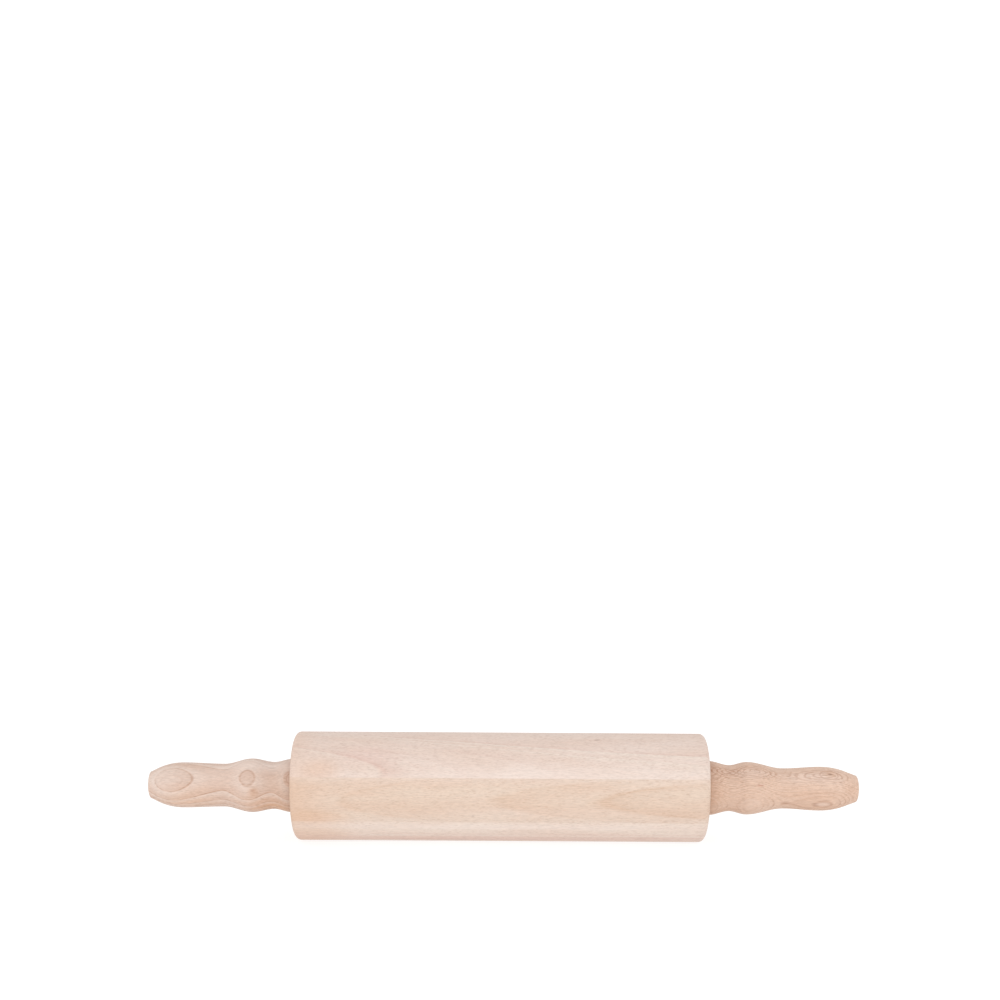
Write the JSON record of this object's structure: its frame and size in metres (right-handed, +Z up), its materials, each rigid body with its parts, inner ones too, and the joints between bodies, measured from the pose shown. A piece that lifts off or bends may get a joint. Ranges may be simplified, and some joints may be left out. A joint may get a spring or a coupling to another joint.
{
  "type": "rolling pin",
  "caption": "Beech rolling pin: a glued-up roller with softly rounded edges turns on a hidden steel axle between wavy turned handles, for rolling out dough.",
  "frame": {"origin": "on the resting surface, straight below the middle of the roller", "axes": "+X along the axle towards the right handle, +Z up, +Y away from the viewer of the picture"},
  "size_m": [0.4337, 0.0668, 0.0667],
  "materials": {
    "roller_beech": "bare beech, finely sanded, unvarnished",
    "handle_beech": "bare beech, turned and sanded, unvarnished",
    "axle_steel": "drawn bright steel rod",
    "washer_steel": "stamped steel, lightly brushed",
    "bush_nylon": "natural moulded nylon"
  },
  "bodies": {
    "handles_and_axle": {"axle_rod": "axle_steel", "left_handle": "handle_beech", "right_handle": "handle_beech", "left_thrust_washer": "washer_steel", "right_thrust_washer": "washer_steel"},
    "roller": {"roller_plank_upper": "roller_beech", "roller_plank_middle": "roller_beech", "roller_plank_lower": "roller_beech", "left_bush": "bush_nylon", "right_bush": "bush_nylon"}
  },
  "joints": [
    {"name": "roller_spin", "type": "hinge", "parent": "handles_and_axle", "child": "roller", "pos_m": [0, 0, 0.03336], "axis": [1, 0, 0], "continuous": true}
  ]
}
